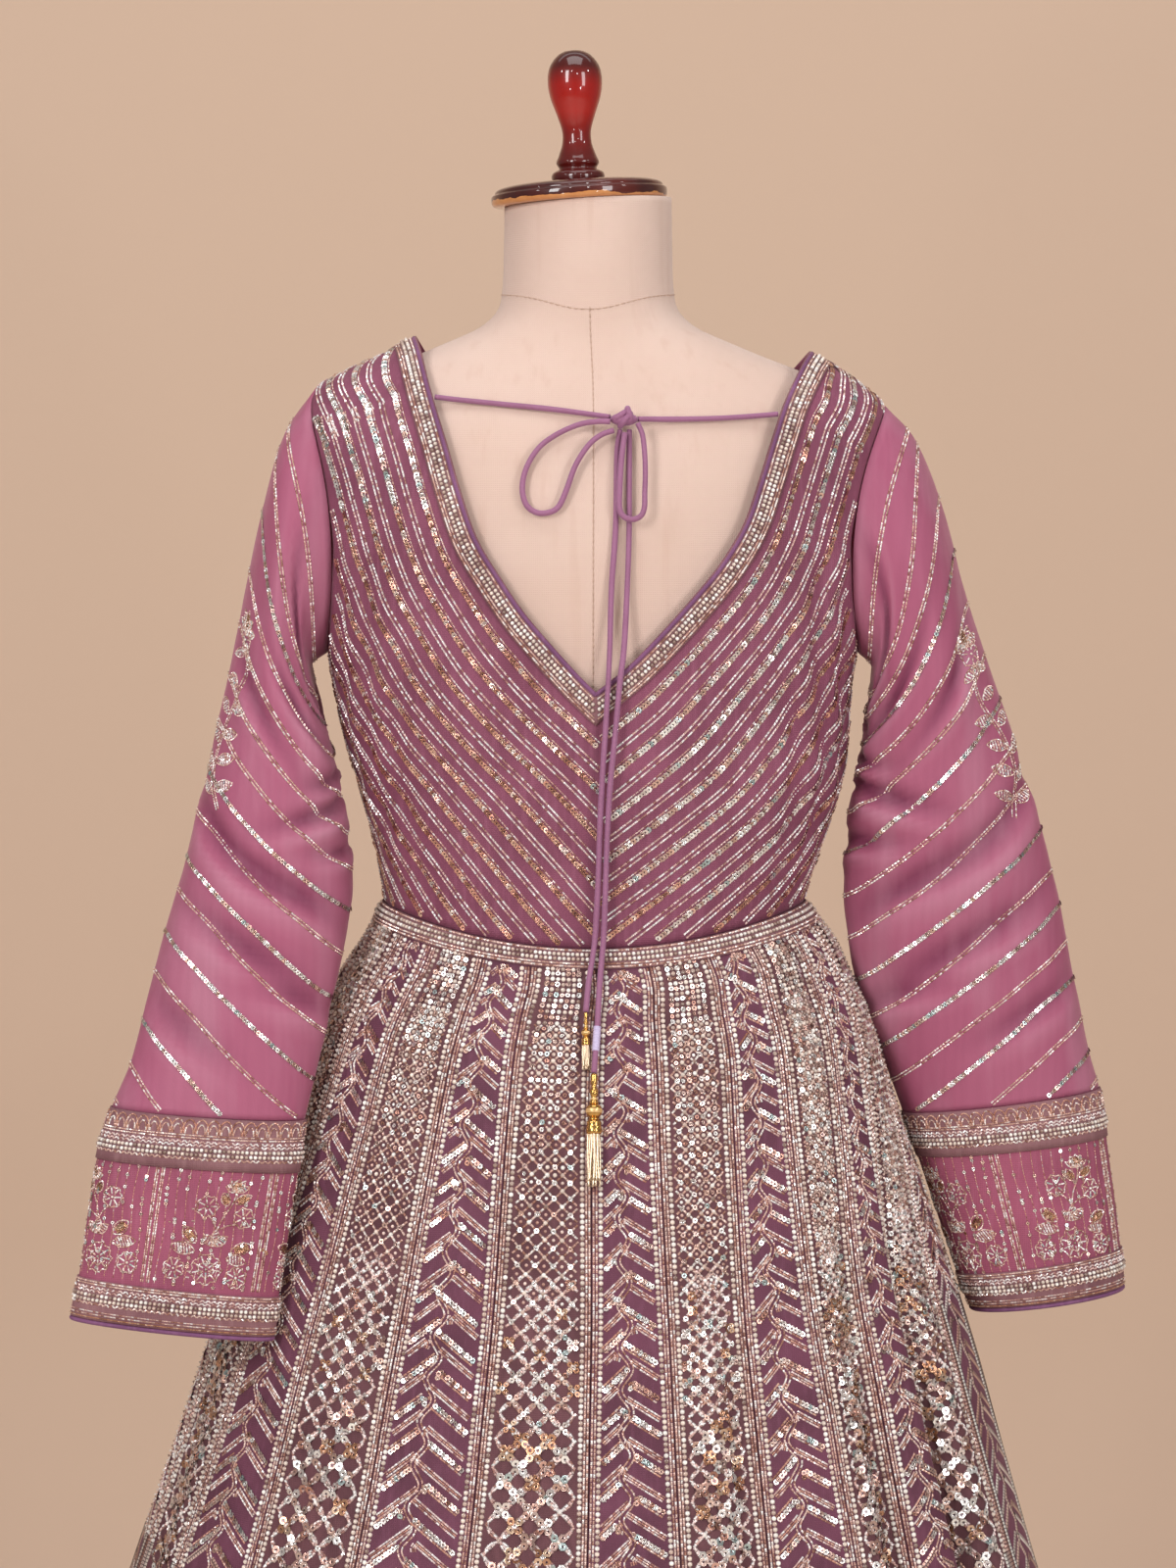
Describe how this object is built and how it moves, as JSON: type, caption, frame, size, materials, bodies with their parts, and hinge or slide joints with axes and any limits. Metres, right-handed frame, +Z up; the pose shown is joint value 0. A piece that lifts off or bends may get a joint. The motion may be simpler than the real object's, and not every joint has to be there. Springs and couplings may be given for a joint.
{
  "type": "anarkali gown on dress form",
  "caption": "Floor-length flared gown with a deep V back closed by a tied cord, sheer long sleeves with deep cuffs, and beaded gores, worn by a limbless linen dress form on a pole stand.",
  "frame": {"origin": "on the floor, at the centre of the underside of the stand's round base", "axes": "+Z up along the stand's pole; -Y towards the wearer's back, the side with the deep V and the tie; +X to the right of somebody who looks at the back"},
  "size_m": [0.9819, 0.8242, 1.5912],
  "materials": {
    "plum_cloth": "matte silk with rows of cut beads and sequins",
    "organza": "sheer crisp organza",
    "cuff_cloth": "lined organza with bead flowers",
    "vine_cloth": "silk with a bead vine and slanting bead rows",
    "lattice_cloth": "silk covered by a lattice of beads and sequins",
    "beadwork": "rows of pearls and cut beads",
    "dori": "matte bias cord",
    "gold_beads": "polished beads",
    "linen": "plain linen stretched over the form",
    "lacquer": "high gloss red brown lacquer",
    "steel": "satin"
  },
  "bodies": {
    "root": {"bodice_back": "plum_cloth", "neck_border_back": "beadwork", "bodice_front": "plum_cloth", "neck_border_front": "beadwork", "sleeve_left": "organza", "cuff_left": "cuff_cloth", "cuff_top_band_left": "beadwork", "cuff_hem_band_left": "beadwork", "sleeve_right": "organza", "cuff_right": "cuff_cloth", "cuff_top_band_right": "beadwork", "cuff_hem_band_right": "beadwork", "gore_vine_01": "vine_cloth", "gore_lattice_01": "lattice_cloth", "gore_vine_02": "vine_cloth", "gore_lattice_02": "lattice_cloth", "gore_vine_03": "vine_cloth", "gore_lattice_03": "lattice_cloth", "gore_vine_04": "vine_cloth", "gore_lattice_04": "lattice_cloth", "gore_vine_05": "vine_cloth", "gore_lattice_05": "lattice_cloth", "gore_vine_06": "vine_cloth", "gore_lattice_06": "lattice_cloth", "gore_vine_07": "vine_cloth", "gore_lattice_07": "lattice_cloth", "gore_vine_08": "vine_cloth", "gore_lattice_08": "lattice_cloth", "gore_vine_09": "vine_cloth", "gore_lattice_09": "lattice_cloth", "gore_vine_10": "vine_cloth", "gore_lattice_10": "lattice_cloth", "gore_vine_11": "vine_cloth", "gore_lattice_11": "lattice_cloth", "gore_vine_12": "vine_cloth", "gore_lattice_12": "lattice_cloth", "waist_band": "beadwork", "tie_span_left": "dori", "tie_span_right": "dori", "tie_loop_left": "dori", "tie_loop_right": "dori", "tie_tail_left": "dori", "tie_tail_right": "dori", "tie_knot": "dori", "tassel_long": "gold_beads", "tassel_short": "gold_beads", "form_torso": "linen", "form_cap": "lacquer", "form_finial": "lacquer", "form_pole": "steel", "form_base": "steel"}
  },
  "joints": []
}
